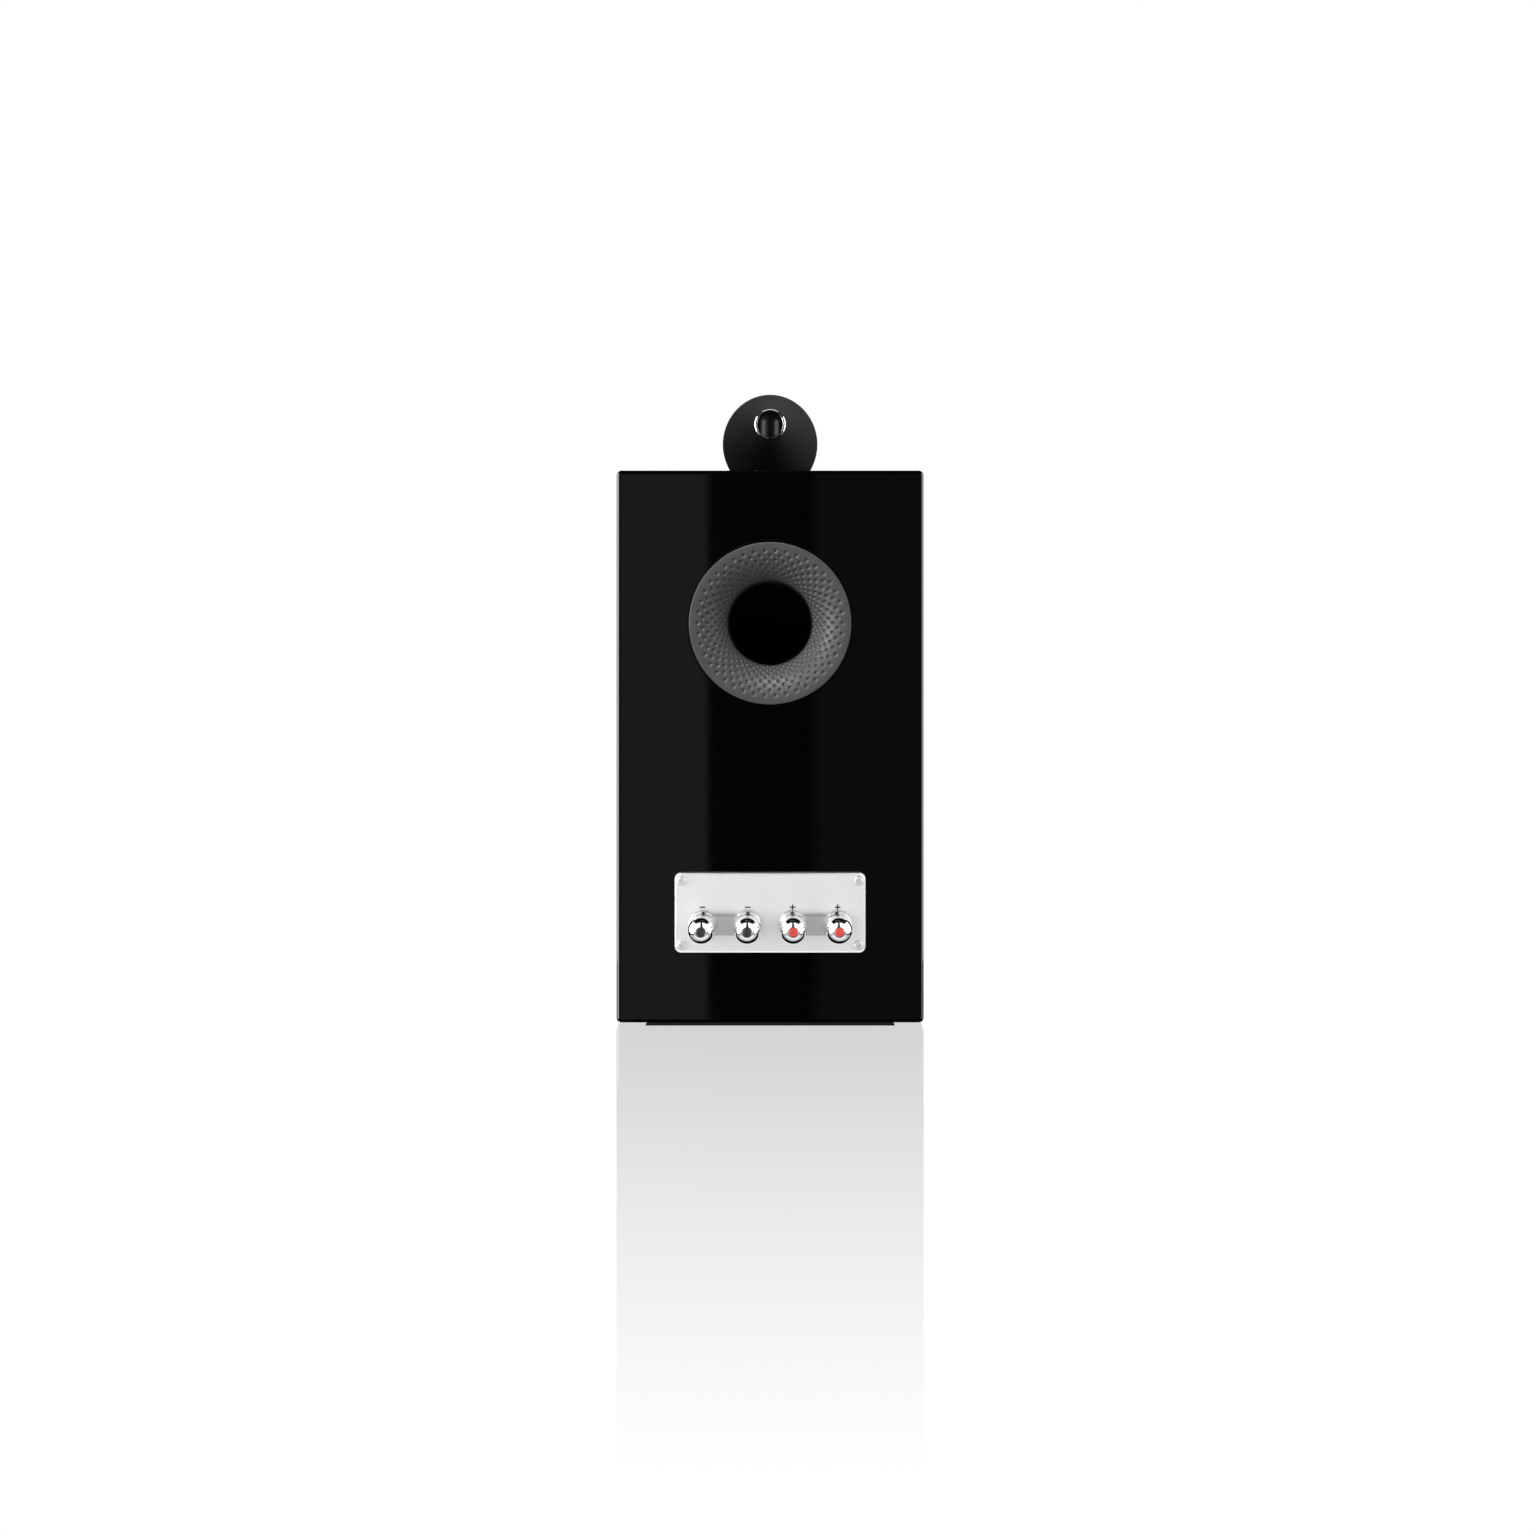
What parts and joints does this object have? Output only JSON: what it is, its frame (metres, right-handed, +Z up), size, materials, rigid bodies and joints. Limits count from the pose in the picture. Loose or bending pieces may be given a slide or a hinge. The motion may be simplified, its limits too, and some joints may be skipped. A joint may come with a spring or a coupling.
{
  "type": "bookshelf speaker",
  "caption": "Compact two-way loudspeaker in a gloss-black cabinet with a bullet-shaped tweeter pod on top, a dimpled rear reflex port and a metal terminal plate with linked binding posts.",
  "frame": {"origin": "centre of the base plate's underside, on the surface that the speaker stands on", "axes": "+Z up, -Y is the way the drivers face, +Y is the way the terminals face, +X to the right of someone facing the drivers"},
  "size_m": [0.192, 0.3034, 0.4178],
  "materials": {
    "gloss_lacquer": "polished black lacquer on fibreboard",
    "fibreboard": "raw medium-density fibreboard",
    "base_black": "satin black",
    "black_steel": "blackened steel",
    "brass": "plain turned",
    "wadding": "felted fibre",
    "port_black": "satin moulded, dimpled",
    "plate_aluminium": "fine brushed and lacquered, polished chamfer",
    "screw_steel": "bright zinc",
    "gasket_foam": "closed-cell foam",
    "post_metal": "nickel plated",
    "black_plastic": "semi-gloss moulded",
    "red_plastic": "semi-gloss moulded",
    "link_steel": "satin nickel plated flat bar",
    "knob_chrome": "mirror polished",
    "chassis_aluminium": "cast, satin",
    "trim_black": "satin black",
    "woven_cone": "resin-coated woven composite, silver grey",
    "surround_rubber": "matt butyl rubber",
    "coil_copper": "enamelled copper on a former",
    "motor_steel": "phosphated steel and ferrite",
    "pod_black": "satin black, machined from solid",
    "tail_cap_black": "gloss black",
    "tail_chrome": "polished ring",
    "grille_mesh": "punched mesh, satin black",
    "dome_alloy": "thin drawn metal, satin",
    "circuit_board": "solder-masked board",
    "component_mix": "film capacitors, copper coils and cement resistors",
    "wire_insulation": "flexible insulation"
  },
  "bodies": {
    "cabinet": {"left_side_panel": "gloss_lacquer", "right_side_panel": "gloss_lacquer", "top_panel": "gloss_lacquer", "rear_panel": "gloss_lacquer", "front_baffle": "gloss_lacquer", "bottom_panel": "fibreboard", "window_brace": "fibreboard", "base_plate": "base_black", "base_plate_screws": "black_steel", "woofer_screws": "black_steel", "stand_inserts": "brass", "post_nuts": "brass", "pod_nut": "brass", "acoustic_wadding": "wadding", "port_flare": "port_black", "port_tube": "port_black", "terminal_plate": "plate_aluminium", "terminal_plate_screws": "screw_steel", "terminal_gasket": "gasket_foam", "woofer_gasket": "gasket_foam", "binding_post_studs": "post_metal", "post_collars": "post_metal", "post_insulators": "black_plastic", "woofer_spider": "black_plastic", "link_bar_negative": "link_steel", "link_bar_positive": "link_steel", "woofer_chassis": "chassis_aluminium", "woofer_phase_plug": "chassis_aluminium", "woofer_trim_ring": "trim_black", "tweeter_faceplate": "trim_black", "woofer_surround": "surround_rubber", "tweeter_surround": "surround_rubber", "pod_isolator": "surround_rubber", "woofer_top_plate": "motor_steel", "woofer_magnet": "motor_steel", "woofer_yoke": "motor_steel", "tweeter_motor": "motor_steel", "pod_stem": "motor_steel", "pod_body": "pod_black", "pod_tail_cap": "tail_cap_black", "pod_tail_ring": "tail_chrome", "tweeter_grille": "grille_mesh", "crossover_board": "circuit_board", "crossover_parts": "component_mix", "internal_wiring": "wire_insulation"},
    "clamp_washer_negative_lf": {"clamp_washer_negative_lf": "knob_chrome"},
    "knob_negative_lf": {"knob_negative_lf": "knob_chrome"},
    "plug_negative_lf": {"blanking_plug_negative_lf": "black_plastic"},
    "clamp_washer_negative_hf": {"clamp_washer_negative_hf": "knob_chrome"},
    "knob_negative_hf": {"knob_negative_hf": "knob_chrome"},
    "plug_negative_hf": {"blanking_plug_negative_hf": "black_plastic"},
    "clamp_washer_positive_lf": {"clamp_washer_positive_lf": "knob_chrome"},
    "knob_positive_lf": {"knob_positive_lf": "knob_chrome"},
    "plug_positive_lf": {"blanking_plug_positive_lf": "red_plastic"},
    "clamp_washer_positive_hf": {"clamp_washer_positive_hf": "knob_chrome"},
    "knob_positive_hf": {"knob_positive_hf": "knob_chrome"},
    "plug_positive_hf": {"blanking_plug_positive_hf": "red_plastic"},
    "woofer_cone": {"woofer_cone": "woven_cone", "woofer_voice_coil": "coil_copper"},
    "tweeter_dome": {"tweeter_dome": "dome_alloy"}
  },
  "joints": [
    {"name": "clamp_travel_negative_lf", "type": "slide", "parent": "cabinet", "child": "clamp_washer_negative_lf", "axis": [0, 1, 0], "range_m": [0, 0.006]},
    {"name": "knob_turn_negative_lf", "type": "hinge", "parent": "clamp_washer_negative_lf", "child": "knob_negative_lf", "pos_m": [0.042, 0.1588, 0.0638], "axis": [0, 1, 0], "range_deg": [0, 2160]},
    {"name": "plug_pull_negative_lf", "type": "slide", "parent": "cabinet", "child": "plug_negative_lf", "axis": [0, 1, 0], "range_m": [0, 0.016]},
    {"name": "clamp_travel_negative_hf", "type": "slide", "parent": "cabinet", "child": "clamp_washer_negative_hf", "axis": [0, 1, 0], "range_m": [0, 0.006]},
    {"name": "knob_turn_negative_hf", "type": "hinge", "parent": "clamp_washer_negative_hf", "child": "knob_negative_hf", "pos_m": [0.014, 0.1588, 0.0638], "axis": [0, 1, 0], "range_deg": [0, 2160]},
    {"name": "plug_pull_negative_hf", "type": "slide", "parent": "cabinet", "child": "plug_negative_hf", "axis": [0, 1, 0], "range_m": [0, 0.016]},
    {"name": "clamp_travel_positive_lf", "type": "slide", "parent": "cabinet", "child": "clamp_washer_positive_lf", "axis": [0, 1, 0], "range_m": [0, 0.006]},
    {"name": "knob_turn_positive_lf", "type": "hinge", "parent": "clamp_washer_positive_lf", "child": "knob_positive_lf", "pos_m": [-0.014, 0.1588, 0.0638], "axis": [0, 1, 0], "range_deg": [0, 2160]},
    {"name": "plug_pull_positive_lf", "type": "slide", "parent": "cabinet", "child": "plug_positive_lf", "axis": [0, 1, 0], "range_m": [0, 0.016]},
    {"name": "clamp_travel_positive_hf", "type": "slide", "parent": "cabinet", "child": "clamp_washer_positive_hf", "axis": [0, 1, 0], "range_m": [0, 0.006]},
    {"name": "knob_turn_positive_hf", "type": "hinge", "parent": "clamp_washer_positive_hf", "child": "knob_positive_hf", "pos_m": [-0.042, 0.1588, 0.0638], "axis": [0, 1, 0], "range_deg": [0, 2160]},
    {"name": "plug_pull_positive_hf", "type": "slide", "parent": "cabinet", "child": "plug_positive_hf", "axis": [0, 1, 0], "range_m": [0, 0.016]},
    {"name": "woofer_excursion", "type": "slide", "parent": "cabinet", "child": "woofer_cone", "axis": [0, -1, 0], "range_m": [-0.006, 0.006], "stiffness_N_per_m": 1200, "deforming": ["woofer_surround", "woofer_spider"]},
    {"name": "tweeter_excursion", "type": "slide", "parent": "cabinet", "child": "tweeter_dome", "axis": [0, -1, 0], "range_m": [-0.0005, 0.0005], "stiffness_N_per_m": 300, "deforming": ["tweeter_surround"]}
  ],
  "couplings": [
    {"joint": "knob_turn_negative_lf", "follows": "clamp_travel_negative_lf", "rad_per_m": 6283.2},
    {"joint": "knob_turn_negative_hf", "follows": "clamp_travel_negative_hf", "rad_per_m": 6283.2},
    {"joint": "knob_turn_positive_lf", "follows": "clamp_travel_positive_lf", "rad_per_m": 6283.2},
    {"joint": "knob_turn_positive_hf", "follows": "clamp_travel_positive_hf", "rad_per_m": 6283.2}
  ]
}
